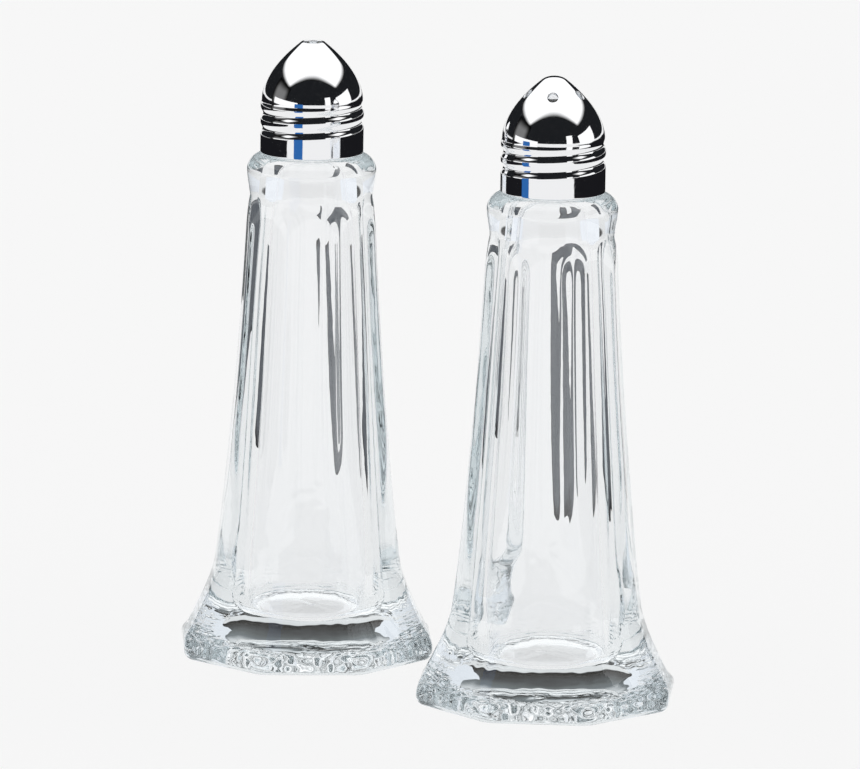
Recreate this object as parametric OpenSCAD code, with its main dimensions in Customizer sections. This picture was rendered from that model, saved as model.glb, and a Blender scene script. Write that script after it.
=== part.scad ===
// Salt and pepper shakers: two eight-sided flared glass bodies on thick feet, each with a
// screwed neck, a loose sealing washer on its lip and a chromed domed cap with a rolled thread.
// Millimetres, +Z up, standing on z = 0, origin midway between the outer edges of the pair.

/* [Pair] */
// Distance between the axes of the two shakers
axis_spacing = 58.7; // [54:0.1:90]
// Turn of the salt shaker's flat panels away from the X axis, in degrees
salt_turn = 2.5; // [0:0.5:20]
// Turn of the pepper shaker's flat panels away from the X axis, in degrees
pepper_turn = 10; // [0:0.5:20]

/* [Glass] */
// Width of the foot across its flats
foot_w = 47.4; // [45:0.2:50]
// Width of the body across its flats just under the bead
waist_w = 23.7; // [23:0.1:24.2]
// Height of the shoulder that the cap comes down to
shoulder_z = 96; // [92:1:104]
// Height of the neck above the shoulder
neck_h = 12.2; // [12:0.1:12.4]
// Diameter of the bead, the round ring under the cap
bead_d = 24.6; // [24:0.1:25]
// Diameter of the hollow where it opens at the lip
mouth_d = 12.6; // [11:0.1:13]
// Height of the hollow's floor above the table
floor_z = 6.4; // [5:0.1:10]
// Depth of the dished recess under the foot
recess_h = 1.3; // [0.6:0.1:2]

/* [Cap] */
// Height of the cap from its hem to the tip of its dome
cap_h = 21.7; // [21.2:0.1:22.4]
// Outer diameter of the cap at its plain skirt
cap_d = 19.5; // [19.4:0.05:19.6]
// Thickness of the cap's sheet
sheet_t = 0.42; // [0.35:0.01:0.45]
// Rise of the thread in one turn
pitch = 3; // [2.9:0.05:3.2]
// Diameter of the single hole in the tip of the salt cap
salt_hole_d = 4.2; // [3:0.1:5]
// Number of holes round the dome of the pepper cap
pepper_holes = 5; // [3:1:7]
// Diameter of each pepper hole
pepper_hole_d = 2; // [1.2:0.1:2.4]

/* [Washer] */
// Thickness of the sealing washer between the lip and the dome
washer_t = 0.8; // [0.5:0.1:0.9]
// Outer diameter of the washer
washer_d = 16.6; // [16:0.1:16.6]

/* [Hidden] */
$fn = 96;
e = 0.01;

// The arrises between the panels are softened to this share of the half width across flats.
arris = 1.062;
// The pair is set off-centre by half the difference of the two feet's reaches along X.
salt_x = (foot_reach(salt_turn) - foot_reach(pepper_turn) - axis_spacing) / 2;
pepper_x = salt_x + axis_spacing;

lip_z = shoulder_z + neck_h;
neck_r = 8.3;
groove_r = 11.68;     // radius of the shallow waist under the bead
hem_gap = 0.3;
hem_z = shoulder_z + hem_gap;
skirt_r = cap_d / 2;
skirt_inner_r = skirt_r - sheet_t;
dome_z = 10;          // height of the dome's widest level above the hem
dome_r = 9.55;        // radius of the dome there
tip_r = 2.4;          // radius where the dome's side turns over into its tip
tip_drop = 0.75;      // height of the tip above that circle
pepper_ring_r = 5.1;  // radius of the ring of pepper holes

// The cap's rolled groove passes this height above the hem at this angle about the axis.
groove_z = 8.2;
groove_angle = 310;
groove_depth = 0.48;
groove_below = 1.35;  // turns of groove below that point
groove_above = 0.4;   // turns of groove above it
glass_thread_r = 9;   // crest radius of the glass thread, inside the skirt's 9.33
thread_steps = 40;    // rings in one turn of a thread
fade = 0.14;          // part of a turn over which a thread fades out

function foot_reach(turn) = foot_w / 2 * arris * cos(acos(1 / arris) - turn);
function bezier(p, t) =
    pow(1 - t, 3) * p[0] + 3 * pow(1 - t, 2) * t * p[1]
    + 3 * (1 - t) * t * t * p[2] + t * t * t * p[3];
function slope(p, t) =
    pow(1 - t, 2) * (p[1] - p[0]) + 2 * (1 - t) * t * (p[2] - p[1]) + t * t * (p[3] - p[2]);
// Points along a curve; inset moves them square to it, to the left of its direction.
function curve(p, n, first = 0, inset = 0) = [
    for (i = [first:n])
        let (t = i / n, s = slope(p, t), u = s / norm(s))
        bezier(p, t) + inset * [-u[1], u[0]]
];
function backwards(list) = [for (i = [len(list) - 1:-1:0]) list[i]];
function mirrored(points) = [for (i = [len(points) - 1:-1:0]) [-points[i][0], points[i][1]]];

// Half outline of a flat panel's place, foot first: half width across flats against height.
panel_top_z = shoulder_z - 8;
flare = [[foot_w / 2 - 0.2, 3.2], [foot_w / 2 - 2.4, 7], [18.2, 13.5], [17.6, 17.5]];
side = [[17.6, 17.5], [14.6, 40.5], [waist_w / 2 + 1.05, panel_top_z - 24],
        [waist_w / 2, panel_top_z]];
foot_edge = [[foot_w / 2 - 0.9, 0], [foot_w / 2 - 0.2, 0.5], [foot_w / 2, 1.7]];
panel_outline = concat(foot_edge, curve(flare, 6), curve(side, 12, first = 1));

// One pair of opposite panels, wide enough for the other pairs to cut.
module panel_pair(turn)
    rotate([0, 0, turn]) rotate([90, 0, 0])
        linear_extrude(height = 2 * foot_w, center = true)
            polygon(concat(panel_outline, mirrored(panel_outline)));

// Round envelope that softens the arrises, and arches the panels' tops under the bead. Its
// levels lie between the panels' levels.
module arris_envelope() {
    shape = concat([[foot_w / 2, -e], [foot_w / 2, 2.3]], curve(flare, 5, first = 1),
        [for (p = curve(side, 7, first = 1)) if (p[1] < panel_top_z - 6) p]);
    rotate_extrude() polygon(concat(
        [[0, -e]],
        [for (p = shape) [p[0] * arris, p[1]]],
        [[waist_w / 2 * 1.045, panel_top_z - 3], [waist_w / 2 * 1.015, panel_top_z - 1],
         [waist_w / 2 * 0.97, panel_top_z + e], [0, panel_top_z + e]]));
}

// Bead, shoulder and neck, turned about the axis.
module upper_body() {
    bead_r = bead_d / 2;
    belly = [[groove_r, panel_top_z + 0.7], [groove_r + 0.13, panel_top_z + 1.9],
             [bead_r - 0.02, panel_top_z + 4.1], [bead_r - 0.1, panel_top_z + 5.4]];
    crown = [[bead_r - 0.1, panel_top_z + 5.4], [bead_r - 0.5, shoulder_z - 1.1],
             [10.9, shoulder_z - 0.2], [9.6, shoulder_z]];
    rotate_extrude() polygon(concat(
        [[0, panel_top_z - 2], [groove_r, panel_top_z - 2]],
        curve(belly, 6), curve(crown, 6, first = 1),
        [[neck_r + 0.5, shoulder_z], [neck_r, shoulder_z + 0.5], [neck_r, lip_z - 0.7],
         [neck_r - 0.25, lip_z - 0.2], [neck_r - 0.75, lip_z], [0, lip_z]]));
}

// The hollow: flat floor, rounded corner, slowly narrowing wall and straight mouth.
module hollow() {
    mouth_r = mouth_d / 2;
    corner = [[8.6, floor_z], [9.9, floor_z + 0.1], [10.6, floor_z + 1], [10.6, floor_z + 2.6]];
    wall = [[10.6, floor_z + 2.6], [8.9, 40], [8.3, panel_top_z - 14], [6.7, panel_top_z]];
    narrows = [[6.7, panel_top_z], [6.5, panel_top_z + 2.5], [mouth_r, shoulder_z - 3],
               [mouth_r, shoulder_z - 1.5]];
    rotate_extrude() polygon(concat(
        [[0, floor_z - 0.2]], curve(corner, 5), curve(wall, 10, first = 1),
        curve(narrows, 5, first = 1), [[mouth_r, lip_z - 0.6], [mouth_r + 0.5, lip_z + e],
         [0, lip_z + e]]));
}

module foot_recess()
    rotate_extrude() polygon([
        [0, -1], [17.6, -1], [17.6, 0], [16.4, recess_h * 0.6], [9, recess_h * 0.93],
        [0, recess_h]]);

// A bar swept along a right-hand helix. It stands between the radius root_r and crest_r,
// with the given half heights there, and fades back to root_r at both ends.
module helix_bar(start_turn, end_turn, z_at_zero, root_r, crest_r, root_h, crest_h) {
    n = ceil((end_turn - start_turn) * thread_steps);
    rings = [
        for (i = [0:n])
            let (turn = start_turn + (end_turn - start_turn) * i / n,
                 reach = min(1, (turn - start_turn) / fade, (end_turn - turn) / fade),
                 z = z_at_zero + pitch * turn,
                 r = root_r + (crest_r - root_r) * (0.15 + 0.85 * reach),
                 side = [[root_r, z - root_h], [r, z - crest_h], [r, z + crest_h],
                         [root_r, z + root_h]],
                 a = groove_angle + 360 * turn)
            for (p = side) [p[0] * cos(a), p[0] * sin(a), p[1]]];
    skin = [
        for (i = [0:n - 1], k = [0:3])
            let (a = 4 * i + k, b = 4 * i + (k + 1) % 4)
            each [[a, b, b + 4], [a, b + 4, a + 4]]];
    ends = [[3, 2, 1, 0], [4 * n, 4 * n + 1, 4 * n + 2, 4 * n + 3]];
    faces = concat(ends, skin);
    inward = crest_r < root_r;
    polyhedron(points = rings, faces = inward ? [for (f = faces) backwards(f)] : faces);
}

module glass_thread()
    helix_bar(-1.2, 0.55, hem_z + groove_z - pitch / 2, neck_r - 0.3, glass_thread_r, 0.75, 0.3);

module glass()
    color([0.82, 0.92, 0.91, 0.4]) difference() {
        union() {
            intersection() {
                panel_pair(0);
                panel_pair(45);
                panel_pair(90);
                panel_pair(135);
                arris_envelope();
            }
            upper_body();
            glass_thread();
        }
        hollow();
        foot_recess();
    }

module washer()
    color([0.93, 0.93, 0.9]) translate([0, 0, lip_z]) difference() {
        cylinder(r = washer_d / 2, h = washer_t);
        translate([0, 0, -1]) cylinder(r = mouth_d / 2, h = washer_t + 2);
    }

dome_side = [[dome_r, dome_z], [dome_r, dome_z + 3.9], [6.2, cap_h - 3.8],
             [tip_r, cap_h - tip_drop]];
dome_tip = [[tip_r, cap_h - tip_drop], [tip_r - 0.7, cap_h - 0.15], [0.8, cap_h], [0, cap_h]];
dome_inner_tip = cap_h - sheet_t;

// The pressed sheet before the thread is rolled and the holes are pierced; hem at z = 0.
module cap_sheet()
    rotate_extrude() polygon(concat(
        [[skirt_inner_r - 0.1, 0.15], [skirt_inner_r + 0.05, 0], [skirt_r - 0.12, 0],
         [skirt_r, 0.15], [skirt_r + 0.05, dome_z - 0.9], [skirt_r - 0.1, dome_z - 0.3]],
        curve(dome_side, 12), curve(dome_tip, 4, first = 1),
        [for (i = [0:3]) let (p = curve(dome_tip, 4, inset = sheet_t)) [
            max(0, p[4 - i][0]), min(p[4 - i][1], dome_inner_tip)]],
        [for (i = [0:12]) curve(dome_side, 12, inset = sheet_t)[12 - i]],
        [[skirt_inner_r, dome_z - 0.9], [skirt_inner_r, 0.8], [skirt_inner_r - 0.1, 0.5]]));

// The rolled thread shows as a groove outside and as a ridge inside.
module rolled_groove()
    helix_bar(-groove_below, groove_above, groove_z, skirt_r + 0.6, skirt_r - groove_depth,
        1.3, 0.3);

module rolled_ridge()
    helix_bar(-groove_below, groove_above, groove_z, skirt_r - 0.3,
        skirt_inner_r - groove_depth, 0.95, 0.4);

module cap(holes)
    color([0.78, 0.79, 0.82]) translate([0, 0, hem_z]) difference() {
        union() {
            cap_sheet();
            rolled_ridge();
        }
        rolled_groove();
        if (holes == 1)
            translate([0, 0, cap_h - 4]) cylinder(r = salt_hole_d / 2, h = 6);
        else
            for (i = [0:holes - 1])
                rotate([0, 0, groove_angle + 6 + 360 * i / holes])
                    translate([pepper_ring_r, 0, cap_h - 2.9]) rotate([0, 45, 0])
                        cylinder(r = pepper_hole_d / 2, h = 4, center = true);
    }

module at_salt() translate([salt_x, 0, 0]) rotate([0, 0, -salt_turn]) children();
module at_pepper() translate([pepper_x, 0, 0]) rotate([0, 0, -pepper_turn]) children();

module salt_glass() at_salt() glass();
module salt_washer() at_salt() washer();
module salt_cap() at_salt() cap(1);
module pepper_glass() at_pepper() glass();
module pepper_washer() at_pepper() washer();
module pepper_cap() at_pepper() cap(pepper_holes);

salt_glass();
salt_washer();
salt_cap();
pepper_glass();
pepper_washer();
pepper_cap();
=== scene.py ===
"""Looks of a pair of table shakers: clear pressed glass, chromed caps with a rolled thread, and a
washer under each cap, in a small white studio with dark flags. Metres, in the CAD frame."""

import math

import bpy
import numpy as np
from mathutils import Matrix, Vector


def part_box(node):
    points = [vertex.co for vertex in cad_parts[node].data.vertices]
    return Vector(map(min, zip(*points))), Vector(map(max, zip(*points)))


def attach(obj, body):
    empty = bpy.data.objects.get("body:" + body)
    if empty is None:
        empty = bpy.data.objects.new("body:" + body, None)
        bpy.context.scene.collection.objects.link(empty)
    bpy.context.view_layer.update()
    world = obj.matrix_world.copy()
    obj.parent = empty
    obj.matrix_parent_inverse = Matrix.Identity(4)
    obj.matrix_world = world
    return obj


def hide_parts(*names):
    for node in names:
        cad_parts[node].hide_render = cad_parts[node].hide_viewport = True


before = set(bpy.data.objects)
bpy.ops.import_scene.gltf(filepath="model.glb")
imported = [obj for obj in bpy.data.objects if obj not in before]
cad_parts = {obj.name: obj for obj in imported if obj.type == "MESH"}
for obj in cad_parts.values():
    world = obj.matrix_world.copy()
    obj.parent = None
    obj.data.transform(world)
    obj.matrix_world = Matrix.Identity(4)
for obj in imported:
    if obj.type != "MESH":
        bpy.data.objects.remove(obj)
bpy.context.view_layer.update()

MM = 0.001
SHAKERS = ("salt", "pepper")

# ---------------------------------------------------------------- camera
CAMERA_BACK = 1.9086          # along the floor, from the middle of the pair
CAMERA_HEIGHT = 0.4496
CAMERA_AZIMUTH = 39.6         # of its line of sight, turned from +Y towards -X
CAMERA_DOWN = 11.665          # degrees below level
CAMERA_ROLL = 0.74            # degrees
CAMERA_LENS = 433.7           # mm on a 36 mm sensor

# ---------------------------------------------------------------- glass, in mm
TURNS = {"salt": 2.5, "pepper": 10.0}  # degrees clockwise, seen from above
FOOT_W = 47.4                 # across the flats
WAIST_W = 23.7                # across the flats, where the panels end
FOOT_EDGE_Z = 1.7             # top of the foot's rounded edge
FLARE_Z = 3.3
FLARE_TOP_HALF = 17.6         # half width where the flare runs into the tall sides
FLARE_TOP_Z = 17.5
PANEL_TOP_Z = 88.0
SHOULDER_Z = 96.0
LIP_Z = 108.2
GROOVE_R = 11.68              # the round waist under the bead
BEAD_R = 12.3
SHOULDER_R = 9.6
NECK_R = 8.3
GLASS_THREAD_R = 9.0
MOUTH_R = 6.3
HOLLOW_TOP_R = 6.7            # at the height of the panels' tops
HOLLOW_FOOT_R = 10.6          # at the top of the rounded corner
HOLLOW_FLAT_R = 8.6           # of the flat floor
CORNER_H = 2.6
FLOOR_Z = 6.4
RECESS_R = 17.6
RECESS_H = 1.3

# Unevenness of the pressed glass.
SIDE_WAVE = 0.05
FLARE_RIPPLE = 0.04
HOLLOW_WAVE = 0.16
FLOOR_WAVE = 0.12
KNURL_H = 0.3

# ---------------------------------------------------------------- cap and its thread, in mm
HEM_Z = 96.3
CAP_H = 21.7
SKIRT_R = 9.75
SHEET_T = 0.42
HEM_ROUND = 0.25
DOME_Z = 10.0
DOME_R = 9.55
TIP_R = 2.4
TIP_DROP = 0.75
PITCH = 3.0
GROOVE_Z = 8.2                # above the hem, at GROOVE_ANGLE
GROOVE_ANGLE = 310.0          # degrees
GROOVE_DEPTH = 0.48
GROOVE_HALF = 1.25            # half the height of the groove
GROOVE_BELOW = 1.35           # turns below GROOVE_Z
GROOVE_ABOVE = 0.4            # turns above it
THREAD_HALF = 0.8
THREAD_BELOW = 1.2            # turns
THREAD_ABOVE = 0.55
THREAD_FADE = 0.14            # turns at each end of a thread or groove
SALT_HOLE_R = 2.1
SALT_RIM = 0.16               # how far the rounded rim of the salt's hole stands inwards
PEPPER_HOLES = 5
PEPPER_HOLE_R = 1.0
PEPPER_RING_R = 5.1
PEPPER_RING_TURN = 6.0        # degrees from GROOVE_ANGLE to the first hole

# ---------------------------------------------------------------- washer, in mm
WASHER_T = 0.8
WASHER_R = 8.3
WASHER_ROUND = 0.15

# ---------------------------------------------------------------- columns of the meshes
AROUND_GLASS = 336
ARRIS_CROWDING = 0.35
AROUND_CAP = 320
AROUND_WASHER = 128
AROUND_PUNCH = 48


# ---------------------------------------------------------------- curves
def bezier(points, count):
    """count + 1 points along a cubic Bezier curve."""
    p = np.array(points, float)
    t = np.linspace(0, 1, count + 1)[:, None]
    return (1 - t) ** 3 * p[0] + 3 * (1 - t) ** 2 * t * p[1] + 3 * (1 - t) * t**2 * p[2] + t**3 * p[3]


def polyline(points, step):
    """The straight stretches between points, filled in at about that step."""
    out = [np.array(points[0], float)]
    for a, b in zip(points[:-1], points[1:]):
        a, b = np.array(a, float), np.array(b, float)
        n = max(1, round(np.linalg.norm(b - a) / step))
        out += [a + (b - a) * (i + 1) / n for i in range(n)]
    return np.array(out)


def joined(*runs):
    """Runs of points as one, without the doubled points where they meet."""
    out = [runs[0]]
    for run in runs[1:]:
        out.append(run[1:] if np.linalg.norm(run[0] - out[-1][-1]) < 1e-6 else run)
    return np.vstack(out)


def smooth_min(a, b, k):
    """The smaller of a and b, blended over the width k where they cross."""
    h = np.clip(0.5 + 0.5 * (b - a) / k, 0, 1)
    return b + (a - b) * h - k * h * (1 - h)


def ramp(x, low, high):
    """0 up to low, 1 from high on, and smooth in between."""
    t = np.clip((x - low) / (high - low), 0, 1)
    return t * t * (3 - 2 * t)


def fall(x, low, high):
    """1 up to low, 0 from high on, and smooth in between."""
    return ramp(-x, -high, -low)


# ---------------------------------------------------------------- meshes
def directions(count):
    """Evenly spaced angles round the axis, as one row."""
    return np.linspace(0, 2 * math.pi, count, endpoint=False)[None, :]


def polar(radius, angle, z):
    return np.stack(np.broadcast_arrays(radius * np.cos(angle), radius * np.sin(angle), z), -1)


def swept(outline, angle):
    """Rings from an outline of radii and heights."""
    return polar(outline[:, :1], angle, outline[:, 1:])


def ring_mesh(name, rings, closed=False, cap_start=False, cap_end=False):
    """A mesh through rings, an array of rows x columns x 3 in mm. Each row is a closed ring."""
    rows, columns = rings.shape[:2]
    verts = rings.reshape(-1, 3) * MM
    index = np.arange(rows * columns).reshape(rows, columns)
    below, above = (index, np.roll(index, -1, 0)) if closed else (index[:-1], index[1:])
    quads = np.stack([below, np.roll(below, -1, 1), np.roll(above, -1, 1), above], -1)
    faces = quads.reshape(-1, 4).tolist()
    verts = verts.tolist()
    for wanted, ring, flip in ((cap_start, index[0], True), (cap_end, index[-1], False)):
        if wanted:
            middle = len(verts)
            verts.append(np.mean([verts[i] for i in ring], axis=0).tolist())
            for i in range(columns):
                a, b = int(ring[i]), int(ring[(i + 1) % columns])
                faces.append([b, a, middle] if flip else [a, b, middle])
    mesh = bpy.data.meshes.new(name)
    mesh.from_pydata(verts, [], faces)
    mesh.validate()
    mesh.polygons.foreach_set("use_smooth", [True] * len(mesh.polygons))
    return mesh


def piece(name, mesh, material, body, slot, *nodes, shades_floor=True):
    obj = bpy.data.objects.new(name, mesh)
    bpy.context.scene.collection.objects.link(obj)
    mesh.materials.append(material)
    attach(obj, body)
    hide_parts(*nodes)
    obj.visible_diffuse = obj.visible_shadow = shades_floor
    return obj


def axis_of(node):
    low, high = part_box(node)
    return (low.x + high.x) / 2, (low.y + high.y) / 2


def placed(rings, who):
    """Rings about the Z axis, turned and moved to a shaker's place."""
    x, y = axis_of(who + "_glass")
    turn = math.radians(-TURNS[who])
    c, s = math.cos(turn), math.sin(turn)
    out = rings.copy()
    out[..., 0] = rings[..., 0] * c - rings[..., 1] * s + x / MM
    out[..., 1] = rings[..., 0] * s + rings[..., 1] * c + y / MM
    return out


# ---------------------------------------------------------------- outlines of the glass
def outer_outline():
    """Half width across flats against height, from the foot's edge up to the panels' tops."""
    half = FOOT_W / 2
    edge = bezier([(half - 0.9, 0), (half - 0.35, 0.05), (half, 0.9), (half, FOOT_EDGE_Z)], 8)
    turn = bezier([(half, FOOT_EDGE_Z), (half, 2.3), (half - 0.1, 2.9), (half - 0.3, FLARE_Z)], 5)
    flare = bezier([(half - 0.3, FLARE_Z), (half - 2.4, 7), (18.2, 13.5),
                    (FLARE_TOP_HALF, FLARE_TOP_Z)], 28)
    side = bezier([(FLARE_TOP_HALF, FLARE_TOP_Z), (14.6, 40.5),
                   (WAIST_W / 2 + 1.05, PANEL_TOP_Z - 24), (WAIST_W / 2, PANEL_TOP_Z)], 44)
    return joined(edge, turn, flare, side)


def bead_outline():
    """Radius against height, from the waist over the bead and the shoulder up to the lip."""
    belly = bezier([(GROOVE_R, PANEL_TOP_Z + 0.7), (GROOVE_R + 0.13, PANEL_TOP_Z + 1.9),
                    (BEAD_R - 0.02, PANEL_TOP_Z + 4.1), (BEAD_R - 0.1, PANEL_TOP_Z + 5.4)], 12)
    crown = bezier([(BEAD_R - 0.1, PANEL_TOP_Z + 5.4), (BEAD_R - 0.5, SHOULDER_Z - 1.1),
                    (10.9, SHOULDER_Z - 0.2), (SHOULDER_R, SHOULDER_Z)], 12)
    neck = polyline([(SHOULDER_R, SHOULDER_Z), (NECK_R + 0.5, SHOULDER_Z),
                     (NECK_R + 0.15, SHOULDER_Z + 0.12), (NECK_R, SHOULDER_Z + 0.5)], 0.3)
    wall = polyline([(NECK_R, SHOULDER_Z + 0.5), (NECK_R, LIP_Z - 0.7)], 0.34)
    lip = bezier([(NECK_R, LIP_Z - 0.7), (NECK_R, LIP_Z - 0.2), (NECK_R - 0.35, LIP_Z),
                  (NECK_R - 0.9, LIP_Z)], 6)
    return joined(belly, crown, neck, wall, lip)


def hollow_outline():
    """From the lip down the mouth, the wall and the rounded corner to the floor's middle."""
    corner_z = FLOOR_Z + CORNER_H
    lip = bezier([(MOUTH_R + 0.6, LIP_Z), (MOUTH_R + 0.2, LIP_Z), (MOUTH_R, LIP_Z - 0.3),
                  (MOUTH_R, LIP_Z - 0.8)], 5)
    mouth = polyline([(MOUTH_R, LIP_Z - 0.8), (MOUTH_R, SHOULDER_Z - 1.5)], 0.9)
    narrows = bezier([(MOUTH_R, SHOULDER_Z - 1.5), (MOUTH_R, SHOULDER_Z - 3),
                      (6.5, PANEL_TOP_Z + 2.5), (HOLLOW_TOP_R, PANEL_TOP_Z)], 10)
    wall = bezier([(HOLLOW_TOP_R, PANEL_TOP_Z), (8.3, PANEL_TOP_Z - 14), (8.9, 40),
                   (HOLLOW_FOOT_R, corner_z)], 40)
    corner = bezier([(HOLLOW_FOOT_R, corner_z), (HOLLOW_FOOT_R, FLOOR_Z + 1), (9.9, FLOOR_Z + 0.1),
                     (HOLLOW_FLAT_R, FLOOR_Z)], 12)
    floor = polyline([(HOLLOW_FLAT_R, FLOOR_Z), (0.4, FLOOR_Z)], 0.8)
    return joined(lip, mouth, narrows, wall, corner, floor)


# ---------------------------------------------------------------- relief
def octagon_radius(angle, half_w, soft):
    """Distance from the axis to an octagon with rounded arrises, in the direction angle."""
    eighth = math.pi / 8
    off = np.abs((angle + eighth) % (2 * eighth) - eighth)
    centre = (half_w - soft) / math.cos(eighth)
    flat = half_w / np.cos(off)
    side = centre * np.sin(eighth - off)
    arc = centre * np.cos(eighth - off) + np.sqrt(np.maximum(soft**2 - side**2, 0))
    on_flat = np.tan(off) * half_w <= (half_w - soft) * math.tan(eighth)
    return np.where(on_flat, flat, arc)


def waves(angle, z, seed, turns, length):
    """Gentle, seeded unevenness of pressed glass, about -1 to 1."""
    rng = np.random.default_rng(seed)
    count = 7
    out = 0.0
    for _ in range(count):
        k = rng.integers(1, turns + 1)
        f = rng.uniform(-1, 1) / length
        out = out + np.sin(k * angle + 2 * math.pi * f * z + rng.uniform(0, 6.28))
    return out / count


def stipple(angle, r, seed):
    """Irregular low marks of the knurled ring under the foot, longer round it than across, 0 to 1."""
    rng = np.random.default_rng(seed)
    count = 14
    out = 0.0
    for _ in range(count):
        turns = rng.integers(14, 46)
        slant = rng.uniform(-1, 1) / rng.uniform(1.0, 2.2)
        out = out + np.sin(turns * angle + 2 * math.pi * slant * r + rng.uniform(0, 6.28))
    return np.clip(0.5 + out / (count / 2), 0, 1)


def thread_height(angle, z, start, end, z_at_zero, half):
    """How far a right-hand thread stands up at angle and z, from 0 to 1, fading at its ends."""
    out = 0.0
    share = ((angle - math.radians(GROOVE_ANGLE)) / (2 * math.pi)) % 1.0
    for whole in range(-3, 3):
        turn = share + whole
        off = (z - z_at_zero - PITCH * turn) / half
        crest = np.where(np.abs(off) < 1, 0.5 + 0.5 * np.cos(math.pi * off), 0)
        out = out + crest * ramp(turn, start, start + THREAD_FADE) * fall(turn, end - THREAD_FADE, end)
    return out


# ---------------------------------------------------------------- glass
def panel_radius(angle, seed):
    """Radius and height of the eight panels, from the foot's edge up to the round waist."""
    outline = outer_outline()
    half_w, z = outline[:, :1], outline[:, 1:]
    # The arrises are rounded most in the flare and sharpen towards the waist.
    soft = half_w * (0.17 + 0.53 * ramp(z, FOOT_EDGE_Z, 4.5) - 0.57 * ramp(z, 20, 46))
    radius = octagon_radius(angle, half_w, soft)
    # Under the bead the panels run into a round waist, which arches their tops.
    waist = GROOVE_R + 0.3 * np.maximum(PANEL_TOP_Z - z, 0)
    radius = np.where(z > 70, smooth_min(radius, waist, 0.5), radius)
    radius = radius + SIDE_WAVE * waves(angle, z, seed, 9, 60) * ramp(z, 3, 14) * fall(z, 70, 86)
    ripples = waves(angle, z, seed + 5, 60, 3.5) * ramp(z, FOOT_EDGE_Z, 4) * fall(z, 9, 19)
    return radius - FLARE_RIPPLE * (1 + ripples), z


def neck_rings(angle):
    """The bead, the shoulder and the screwed neck."""
    outline = bead_outline()
    r, z = outline[:, :1], outline[:, 1:]
    thread = thread_height(angle, z, -THREAD_BELOW, THREAD_ABOVE, HEM_Z + GROOVE_Z - PITCH / 2,
                           THREAD_HALF)
    on_neck = (z > SHOULDER_Z + 0.6) & (z < LIP_Z - 0.8)
    return polar(r + (GLASS_THREAD_R - NECK_R) * thread * on_neck, angle, z)


def hollow_rings(angle, seed):
    """The inside, from the lip down to the floor's middle, with uneven walls and floor."""
    outline = hollow_outline()
    r, z = outline[:, :1], outline[:, 1:]
    uneven = HOLLOW_WAVE * waves(angle, z, seed + 1, 5, 45) * ramp(z, FLOOR_Z + 1, FLOOR_Z + 12)
    uneven = uneven * fall(z, SHOULDER_Z - 14, SHOULDER_Z - 3)
    wavy_z = z + FLOOR_WAVE * waves(angle, r, seed + 2, 4, 9) * (1 - ramp(z, FLOOR_Z, FLOOR_Z + 4))
    return polar(r + uneven * (r > 5), angle, wavy_z)


def underside_rings(angle, edge_r, seed):
    """From the middle of the dished recess out over the knurled ring to the edge."""
    plain_r = 11.5
    dish_r = np.concatenate([np.linspace(0, plain_r, 10)[1:], np.linspace(plain_r, RECESS_R, 24)[1:]])
    dish_r = dish_r[:, None]
    dish = polar(dish_r, angle, RECESS_H * (1 - (dish_r / RECESS_R) ** 3))
    out = np.linspace(0, 1, 21)[1:-1, None]
    ring_r = RECESS_R + (edge_r - RECESS_R) * out
    ring = polar(ring_r, angle, np.zeros_like(ring_r))
    for part, part_r, weight in ((dish, dish_r, ramp(dish_r, 12.4, 14.6)),
                                 (ring, ring_r, 0.4 + 0.6 * fall(out, 0.2, 0.6))):
        inside_edge = ramp(edge_r - part_r, 0, 0.8)
        part[..., 2] += KNURL_H * weight * inside_edge * stipple(angle, part_r, seed + 3)
    return np.concatenate([dish, ring])


def glass_mesh(who, seed):
    angle = directions(AROUND_GLASS)
    angle = angle + ARRIS_CROWDING / 8 * np.sin(8 * angle)  # closer together at the arrises
    radius, z = panel_radius(angle, seed)
    rings = np.concatenate([underside_rings(angle, radius[:1], seed), polar(radius, angle, z),
                            neck_rings(angle), hollow_rings(angle, seed)])
    return ring_mesh(who + "_glass_body", placed(rings, who), cap_start=True, cap_end=True)


# ---------------------------------------------------------------- cap
def dome_side(count):
    """Radius against height up the side of the dome, in the cap's own height."""
    return bezier([(DOME_R, DOME_Z), (DOME_R, DOME_Z + 3.9), (6.2, CAP_H - 3.8),
                   (TIP_R, CAP_H - TIP_DROP)], count)


def dome_outline(open_tip):
    """Outside of the cap from the hem up over the dome."""
    skirt = polyline([(SKIRT_R, HEM_ROUND), (SKIRT_R, DOME_Z - 0.9)], 0.13)
    turn = bezier([(SKIRT_R, DOME_Z - 0.9), (SKIRT_R, DOME_Z - 0.5), (DOME_R + 0.02, DOME_Z - 0.4),
                   (DOME_R, DOME_Z)], 6)
    tip = bezier([(TIP_R, CAP_H - TIP_DROP), (TIP_R - 0.7, CAP_H - 0.15), (0.8, CAP_H),
                  (0.05, CAP_H)], 11)
    whole = joined(skirt, turn, dome_side(48), tip)
    return whole[whole[:, 0] >= SALT_HOLE_R] if open_tip else whole


def cap_rings(outline, angle):
    """The outline swept round, with the rolled groove pressed in."""
    r, z = outline[:, :1], outline[:, 1:]
    groove = thread_height(angle, z, -GROOVE_BELOW, GROOVE_ABOVE, GROOVE_Z, GROOVE_HALF)
    return polar(r - GROOVE_DEPTH * groove * (z < DOME_Z + 1.5), angle, z)


def surface_normals(rings):
    """Unit normals of a swept surface, from its own grid."""
    along = np.gradient(rings, axis=0)
    around = np.roll(rings, -1, 1) - np.roll(rings, 1, 1)
    n = np.cross(around, along)
    return n / np.maximum(np.linalg.norm(n, axis=-1, keepdims=True), 1e-9)


def rounded_edge(start, end, bulge):
    """Rings that turn over from start to end and stand out by bulge halfway."""
    middle, half = (start + end) / 2, (start - end) / 2
    bend = np.linspace(0, math.pi, 8)[1:-1]
    return np.array([middle + half * math.cos(b) + bulge * math.sin(b) for b in bend])


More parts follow.
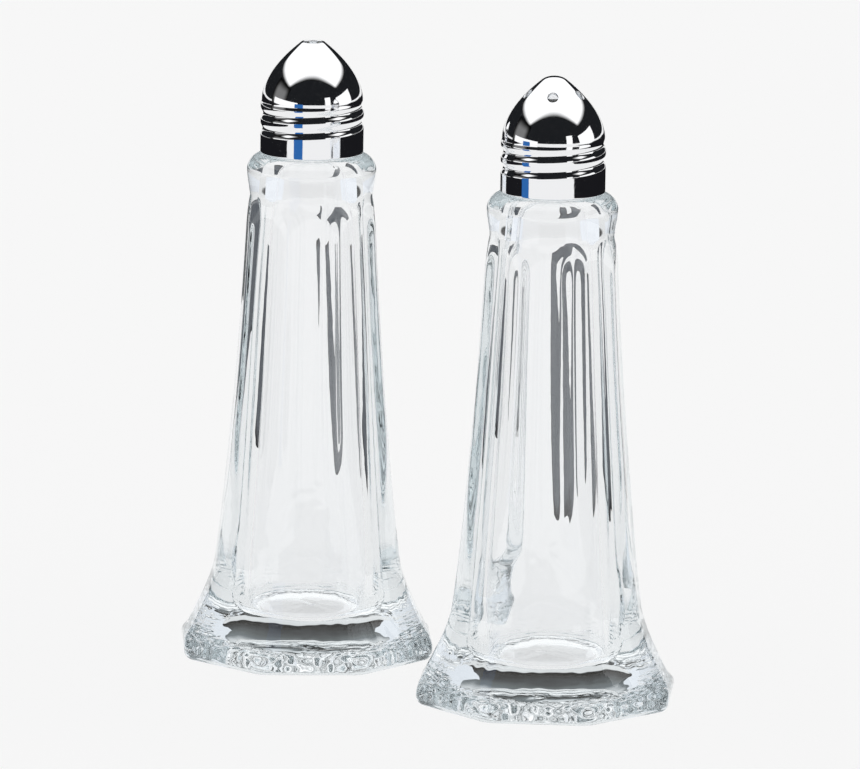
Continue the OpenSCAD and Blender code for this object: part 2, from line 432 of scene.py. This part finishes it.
def cap_mesh(who):
    open_tip = who == "salt"
    angle = directions(AROUND_CAP)
    outer = cap_rings(dome_outline(open_tip), angle)
    inner = outer - SHEET_T * surface_normals(outer)
    if not open_tip:
        inner[-1] = outer[-1] - np.array([0, 0, SHEET_T])
    inner[..., 2] = np.maximum(inner[..., 2], HEM_ROUND)
    rings = [inner[::-1], rounded_edge(inner[0], outer[0], np.array([0, 0, -HEM_ROUND])), outer]
    if open_tip:
        inwards = -SALT_RIM * polar(1, angle[0], -0.6)
        rings.append(rounded_edge(outer[-1], inner[-1], inwards))
    rings = np.concatenate(rings)
    rings[..., 2] += HEM_Z
    return ring_mesh(who + "_cap_shell", placed(rings, who), closed=open_tip,
                     cap_start=not open_tip, cap_end=not open_tip)


def hole_cutter(who, i):
    """A lathed punch: straight through the sheet, with a small flare where it meets the outside."""
    r = PEPPER_HOLE_R
    flare = np.array([(r, -2.0), (r, 0.12), (r + 0.06, 0.24), (r + 0.2, 0.36), (r + 0.5, 0.5),
                      (r + 0.5, 2.0)])
    side = dome_side(400)
    k = int(np.argmin(np.abs(side[:, 0] - PEPPER_RING_R)))
    tangent = side[k + 1] - side[k - 1]
    tilt = math.atan2(tangent[1], -tangent[0])  # of the punch, from upright towards the side
    way = math.radians(GROOVE_ANGLE + PEPPER_RING_TURN + 360 * i / PEPPER_HOLES)
    to_place = (Matrix.Rotation(way, 4, "Z")
                @ Matrix.Translation((side[k][0], 0, HEM_Z + side[k][1]))
                @ Matrix.Rotation(tilt, 4, "Y") @ Matrix.Translation((0, 0, -0.3)))
    m = np.array(to_place)
    rings = swept(flare, directions(AROUND_PUNCH)) @ m[:3, :3].T + m[:3, 3]
    mesh = ring_mesh(f"punch_{i}", placed(rings, who), cap_start=True, cap_end=True)
    return bpy.data.objects.new(f"punch_{i}", mesh)


def pierce(obj, who):
    """Cuts the pepper holes through the cap."""
    for i in range(PEPPER_HOLES):
        cutter = hole_cutter(who, i)
        bpy.context.scene.collection.objects.link(cutter)
        m = obj.modifiers.new("hole", "BOOLEAN")
        m.object, m.operation, m.solver = cutter, "DIFFERENCE", "EXACT"
        with bpy.context.temp_override(object=obj, active_object=obj):
            bpy.ops.object.modifier_apply(modifier=m.name)
        bpy.data.objects.remove(cutter)


# ---------------------------------------------------------------- washer
def washer_mesh(who):
    inner, outer, low, high, cut = MOUTH_R, WASHER_R, LIP_Z, LIP_Z + WASHER_T, WASHER_ROUND
    corners = np.array([(inner + cut, low), (outer - cut, low), (outer, low + cut),
                        (outer, high - cut), (outer - cut, high), (inner + cut, high),
                        (inner, high - cut), (inner, low + cut)])
    rings = swept(corners, directions(AROUND_WASHER))
    return ring_mesh(who + "_washer_ring", placed(rings, who), closed=True)


# ---------------------------------------------------------------- materials
def new_material(name):
    material = bpy.data.materials.new(name)
    material.use_nodes = True
    tree = material.node_tree
    return material, tree, tree.nodes["Principled BSDF"]


def noise(tree, scale, detail):
    coords = tree.nodes.new("ShaderNodeTexCoord")
    texture = tree.nodes.new("ShaderNodeTexNoise")
    texture.inputs["Scale"].default_value = scale
    texture.inputs["Detail"].default_value = detail
    tree.links.new(coords.outputs["Object"], texture.inputs["Vector"])
    return texture.outputs["Fac"]


def mapped(tree, value, low, high, to_low, to_high):
    node = tree.nodes.new("ShaderNodeMapRange")
    for name, v in (("From Min", low), ("From Max", high), ("To Min", to_low), ("To Max", to_high)):
        node.inputs[name].default_value = v
    tree.links.new(value, node.inputs["Value"])
    return node.outputs["Result"]


def rough_by(tree, shader, value, low, high, to_low, to_high):
    """Roughness that follows value, from to_low where it is low to to_high where it is high."""
    tree.links.new(mapped(tree, value, low, high, to_low, to_high), shader.inputs["Roughness"])


def bump(tree, shader, value, strength, distance):
    node = tree.nodes.new("ShaderNodeBump")
    node.inputs["Strength"].default_value = strength
    node.inputs["Distance"].default_value = distance
    tree.links.new(value, node.inputs["Height"])
    tree.links.new(node.outputs["Normal"], shader.inputs["Normal"])


def glass_material():
    """Clear glass with a faint blue-green body, handling marks and a gently rippled surface."""
    material, tree, shader = new_material("clear_glass")
    shader.inputs["Base Color"].default_value = (0.987, 0.988, 0.992, 1)
    shader.inputs["Transmission Weight"].default_value = 1
    shader.inputs["IOR"].default_value = 1.5
    rough_by(tree, shader, noise(tree, scale=900, detail=3), 0.5, 0.8, 0.0, 0.035)
    bump(tree, shader, noise(tree, scale=110, detail=2), strength=0.25, distance=0.00025)
    depth = tree.nodes.new("ShaderNodeVolumeAbsorption")
    depth.inputs["Color"].default_value = (0.64, 0.74, 0.77, 1)
    depth.inputs["Density"].default_value = 10.0
    tree.links.new(depth.outputs["Volume"], tree.nodes["Material Output"].inputs["Volume"])
    return material


def chrome_material():
    """Bright chrome with fine wear in its polish and the slight swell of pressed sheet."""
    material, tree, shader = new_material("bright_chrome")
    shader.inputs["Base Color"].default_value = (0.92, 0.925, 0.94, 1)
    shader.inputs["Metallic"].default_value = 1
    rough_by(tree, shader, noise(tree, scale=1400, detail=4), 0.35, 0.8, 0.015, 0.09)
    bump(tree, shader, noise(tree, scale=260, detail=2), strength=0.12, distance=0.0001)
    return material


def washer_material():
    """Milky plastic, a little mottled."""
    material, tree, shader = new_material("natural_polyethylene")
    ramp_node = tree.nodes.new("ShaderNodeValToRGB")
    ramp_node.color_ramp.elements[0].color = (0.80, 0.80, 0.76, 1)
    ramp_node.color_ramp.elements[1].color = (0.90, 0.90, 0.87, 1)
    tree.links.new(noise(tree, scale=500, detail=3), ramp_node.inputs["Fac"])
    tree.links.new(ramp_node.outputs["Color"], shader.inputs["Base Color"])
    rough_by(tree, shader, noise(tree, scale=900, detail=2), 0.3, 0.7, 0.45, 0.62)
    shader.inputs["Subsurface Weight"].default_value = 0.2
    shader.inputs["Subsurface Radius"].default_value = (0.001, 0.001, 0.0008)
    bump(tree, shader, noise(tree, scale=2200, detail=2), strength=0.3, distance=0.00003)
    return material


# ---------------------------------------------------------------- studio
SIGHT = Vector((-math.sin(math.radians(CAMERA_AZIMUTH)), math.cos(math.radians(CAMERA_AZIMUTH)), 0))
RIGHT = Vector((math.cos(math.radians(CAMERA_AZIMUTH)), math.sin(math.radians(CAMERA_AZIMUTH)), 0))
UP = Vector((0, 0, 1))
CARD_LIFT = 0.002             # of a card on the floor
CARD_AIM = 0.08               # height that the standing cards face
FLOOR_HALF = 6.0

# What the glass sees above the floor: elevation in degrees, and colour.
HORIZON = (
    (0, (0.88, 0.88, 0.88)),
    (5.6, (0.85, 0.85, 0.85)),
    (6.6, (0.014, 0.012, 0.01)),
    (9, (0.045, 0.04, 0.035)),
    (14, (0.1, 0.1, 0.1)),
    (18, (0.17, 0.18, 0.18)),
    (22, (0.23, 0.25, 0.26)),
    (26, (0.6, 0.62, 0.63)),
    (31, (0.86, 0.88, 0.89)),
)


def direction(azimuth, elevation):
    """Unit vector from the pair: azimuth 0 is towards the camera and 90 to its right."""
    a, e = math.radians(azimuth), math.radians(elevation)
    return (RIGHT * math.sin(a) - SIGHT * math.cos(a)) * math.cos(e) + UP * math.sin(e)


def product(tree, value, factor):
    """Value times factor, which is another node's value or a plain number."""
    node = tree.nodes.new("ShaderNodeMath")
    node.operation = "MULTIPLY"
    tree.links.new(value, node.inputs[0])
    if isinstance(factor, float):
        node.inputs[1].default_value = factor
    else:
        tree.links.new(factor, node.inputs[1])
    return node.outputs[0]


def edge_fade(tree, soft):
    """1 in the middle of a card, falling to 0 at its edge over the share soft of its size."""
    coords = tree.nodes.new("ShaderNodeTexCoord")
    split = tree.nodes.new("ShaderNodeSeparateXYZ")
    tree.links.new(coords.outputs["UV"], split.inputs[0])
    total = None
    for axis in ("X", "Y"):
        for low, high in ((0, soft), (1, 1 - soft)):
            node = tree.nodes.new("ShaderNodeMapRange")
            node.interpolation_type = "SMOOTHSTEP"
            node.inputs["From Min"].default_value = low
            node.inputs["From Max"].default_value = high
            tree.links.new(split.outputs[axis], node.inputs["Value"])
            fade = node.outputs["Result"]
            total = fade if total is None else product(tree, total, fade)
    return total


def emission_material(name, colour, strength, soft=0.0):
    """Emission that fades out over the share soft of the card's edge."""
    material = bpy.data.materials.new(name)
    material.use_nodes = True
    tree = material.node_tree
    tree.nodes.clear()
    out = tree.nodes.new("ShaderNodeOutputMaterial")
    glow = tree.nodes.new("ShaderNodeEmission")
    glow.inputs["Color"].default_value = (*colour, 1)
    glow.inputs["Strength"].default_value = strength
    if soft > 0:
        tree.links.new(product(tree, edge_fade(tree, soft), strength), glow.inputs["Strength"])
    tree.links.new(glow.outputs[0], out.inputs["Surface"])
    return material


def card(name, centre, normal, width, height, material, turn=0.0, chrome_sees=True, glass_sees=True):
    """A flat card that faces along normal. It shows only in reflections or through glass."""
    mesh = bpy.data.meshes.new(name)
    w, h = width / 2, height / 2
    mesh.from_pydata([(-w, -h, 0), (w, -h, 0), (w, h, 0), (-w, h, 0)], [], [(0, 1, 2, 3)])
    layer = mesh.uv_layers.new(name="UVMap")
    for loop, uv in zip(layer.data, ((0, 0), (1, 0), (1, 1), (0, 1))):
        loop.uv = uv
    obj = bpy.data.objects.new(name, mesh)
    obj.matrix_world = (Matrix.Translation(centre) @ normal.to_track_quat("Z", "Y").to_matrix().to_4x4()
                        @ Matrix.Rotation(math.radians(turn), 4, "Z"))
    mesh.materials.append(material)
    bpy.context.scene.collection.objects.link(obj)
    obj.visible_camera = obj.visible_diffuse = obj.visible_shadow = False
    obj.visible_volume_scatter = False
    obj.visible_glossy, obj.visible_transmission = chrome_sees, glass_sees


def facing_card(name, azimuth, elevation, distance, width, height, material, turn=0.0, **sees):
    """A card at that bearing, turned to face the pair. Width and height are in degrees."""
    way = direction(azimuth, elevation)
    size = [2 * distance * math.tan(math.radians(d) / 2) for d in (width, height)]
    card(name, way * distance + UP * CARD_AIM, -way, *size, material, turn, **sees)


def ground_card(name, azimuth, near, far, width, material, **sees):
    """A card flat on the floor, from near to far along a bearing. Width is in metres."""
    centre = direction(azimuth, 0) * (near + far) / 2 + UP * CARD_LIFT
    card(name, centre, UP, width, far - near, material, azimuth + CAMERA_AZIMUTH, **sees)


def floor_card(name, right, back, material, **sees):
    """A card flat on the floor. Its sides are given to the right of the pair and behind it."""
    centre = RIGHT * sum(right) / 2 + SIGHT * sum(back) / 2 + UP * CARD_LIFT
    card(name, centre, UP, right[1] - right[0], back[1] - back[0], material, CAMERA_AZIMUTH, **sees)


def make_floor():
    mesh = bpy.data.meshes.new("floor")
    s = FLOOR_HALF
    mesh.from_pydata([(-s, -s, 0), (s, -s, 0), (s, s, 0), (-s, s, 0)], [], [(0, 1, 2, 3)])
    floor = bpy.data.objects.new("floor", mesh)
    bpy.context.scene.collection.objects.link(floor)
    material, tree, shader = new_material("pale_floor")
    shader.inputs["Base Color"].default_value = (0.93, 0.93, 0.93, 1)
    shader.inputs["Roughness"].default_value = 0.9
    shader.inputs["Specular IOR Level"].default_value = 0
    mesh.materials.append(material)


def horizon_background(tree):
    """A background that follows HORIZON by elevation."""
    coords = tree.nodes.new("ShaderNodeTexCoord")
    split = tree.nodes.new("ShaderNodeSeparateXYZ")
    tree.links.new(coords.outputs["Generated"], split.inputs[0])
    ramp_node = tree.nodes.new("ShaderNodeValToRGB")
    marks = ramp_node.color_ramp.elements
    for elevation, colour in HORIZON:
        height = math.sin(math.radians(elevation))
        mark = marks[0] if elevation == HORIZON[0][0] else marks.new(height)
        mark.position, mark.color = height, (*colour, 1)
    marks.remove(marks[len(marks) - 1])  # the new ramp's own white end
    tree.links.new(split.outputs["Z"], ramp_node.inputs["Fac"])
    background = tree.nodes.new("ShaderNodeBackground")
    tree.links.new(ramp_node.outputs["Color"], background.inputs["Color"])
    return background


def make_world():
    """Even white light for the floor, dark surroundings for the chrome, and for the glass a
    horizon that is dark low down and paler towards the softbox."""
    world = bpy.data.worlds.new("studio")
    bpy.context.scene.world = world
    world.use_nodes = True
    tree = world.node_tree
    white = tree.nodes["Background"]
    white.inputs["Color"].default_value = (1, 1, 1, 1)
    white.inputs["Strength"].default_value = 1.0
    dark = tree.nodes.new("ShaderNodeBackground")
    dark.inputs["Color"].default_value = (0.012, 0.013, 0.015, 1)
    rays = tree.nodes.new("ShaderNodeLightPath")
    last = white
    for kind, seen in (("Is Glossy Ray", dark), ("Is Transmission Ray", horizon_background(tree))):
        mix = tree.nodes.new("ShaderNodeMixShader")
        tree.links.new(rays.outputs[kind], mix.inputs["Fac"])
        tree.links.new(last.outputs[0], mix.inputs[1])
        tree.links.new(seen.outputs[0], mix.inputs[2])
        last = mix
    tree.links.new(last.outputs[0], tree.nodes["World Output"].inputs["Surface"])


def make_softbox():
    """The one card that chrome and glass both see."""
    white = emission_material("softbox", (1, 1, 1), 1.2, soft=0.1)
    card("overhead", SIGHT * 0.42 + UP * 1.0, -UP, width=2.7, height=2.1, material=white,
         turn=-CAMERA_AZIMUTH)


def make_chrome_cards():
    """The windows, the blue strip and the dark ground that the caps mirror."""
    plain = emission_material("white_card", (1, 1, 1), 1.1)
    grey = emission_material("grey_card", (1, 1, 1), 0.2, soft=0.3)
    blue = emission_material("blue_card", (0.03, 0.14, 0.42), 1.0)
    dark = emission_material("dark_card", (0.01, 0.01, 0.012), 1.0)
    only = {"glass_sees": False}
    facing_card("left_fill", azimuth=-84, elevation=12, distance=1.2, width=44, height=44,
                material=grey, **only)
    facing_card("left_window", azimuth=-66, elevation=1, distance=1.0, width=62, height=13,
                material=plain, turn=3, **only)
    facing_card("right_window", azimuth=80, elevation=8, distance=1.0, width=42, height=26,
                material=plain, turn=-8, **only)
    facing_card("front_window", azimuth=36, elevation=10, distance=1.1, width=13, height=20,
                material=plain, **only)
    card("blue_strip", RIGHT * -0.070 - SIGHT * 0.068 + UP * 0.07, direction(140, 0),
         width=0.034, height=0.075, material=blue, **only)
    # Darker ground beyond the white table.
    ground_card("right_ground", azimuth=110, near=0.25, far=1.6, width=1.6, material=dark, **only)
    ground_card("left_ground", azimuth=-122, near=0.25, far=1.6, width=1.2, material=dark, **only)


def make_glass_cards():
    """The flags and pale walls that show through the glass."""
    shade = emission_material("shade_card", (0.1, 0.11, 0.125), 1.0, soft=0.06)
    pale = emission_material("pale_wall", (0.92, 0.95, 1.0), 1.0)
    only = {"chrome_sees": False}
    # A long dark flag on the table, along the line of sight, draws the grey strips in the glass.
    floor_card("right_shade", right=(0.057, 0.155), back=(0.092, 0.46), material=shade, **only)
    ground_card("left_shade", azimuth=-112, near=0.2, far=0.7, width=0.12, material=shade, **only)
    for name, azimuth in (("right_wall", 96), ("left_wall", -96)):
        facing_card(name, azimuth, elevation=15, distance=1.0, width=118, height=30,
                    material=pale, **only)


def make_camera():
    data = bpy.data.cameras.new("camera")
    data.sensor_width = 36
    data.lens = CAMERA_LENS
    data.clip_start, data.clip_end = 0.1, 30
    camera = bpy.data.objects.new("camera", data)
    forward = SIGHT * math.cos(math.radians(CAMERA_DOWN)) - UP * math.sin(math.radians(CAMERA_DOWN))
    level = forward.to_track_quat("-Z", "Y").to_matrix().to_4x4()
    camera.matrix_world = (Matrix.Translation(-SIGHT * CAMERA_BACK + UP * CAMERA_HEIGHT) @ level
                           @ Matrix.Rotation(math.radians(CAMERA_ROLL), 4, "Z"))
    bpy.context.scene.collection.objects.link(camera)
    bpy.context.scene.camera = camera


# ---------------------------------------------------------------- build
make_camera()
glass = glass_material()
chrome = chrome_material()
plastic = washer_material()
for seed, who in enumerate(SHAKERS, start=11):
    piece(who + "_glass_body", glass_mesh(who, seed * 10), glass, who + "_glass", "glass",
          who + "_glass", shades_floor=False)
    shell = piece(who + "_cap_shell", cap_mesh(who), chrome, who + "_cap", "cap", who + "_cap")
    if who == "pepper":
        pierce(shell, who)
    piece(who + "_washer_ring", washer_mesh(who), plastic, who + "_washer", "washer", who + "_washer")

make_floor()
make_world()
make_softbox()
make_chrome_cards()
make_glass_cards()

scene = bpy.context.scene
scene.view_settings.view_transform = "Standard"
scene.cycles.max_bounces = 24
scene.cycles.transmission_bounces = 20
scene.cycles.glossy_bounces = 10
scene.cycles.sample_clamp_indirect = 4
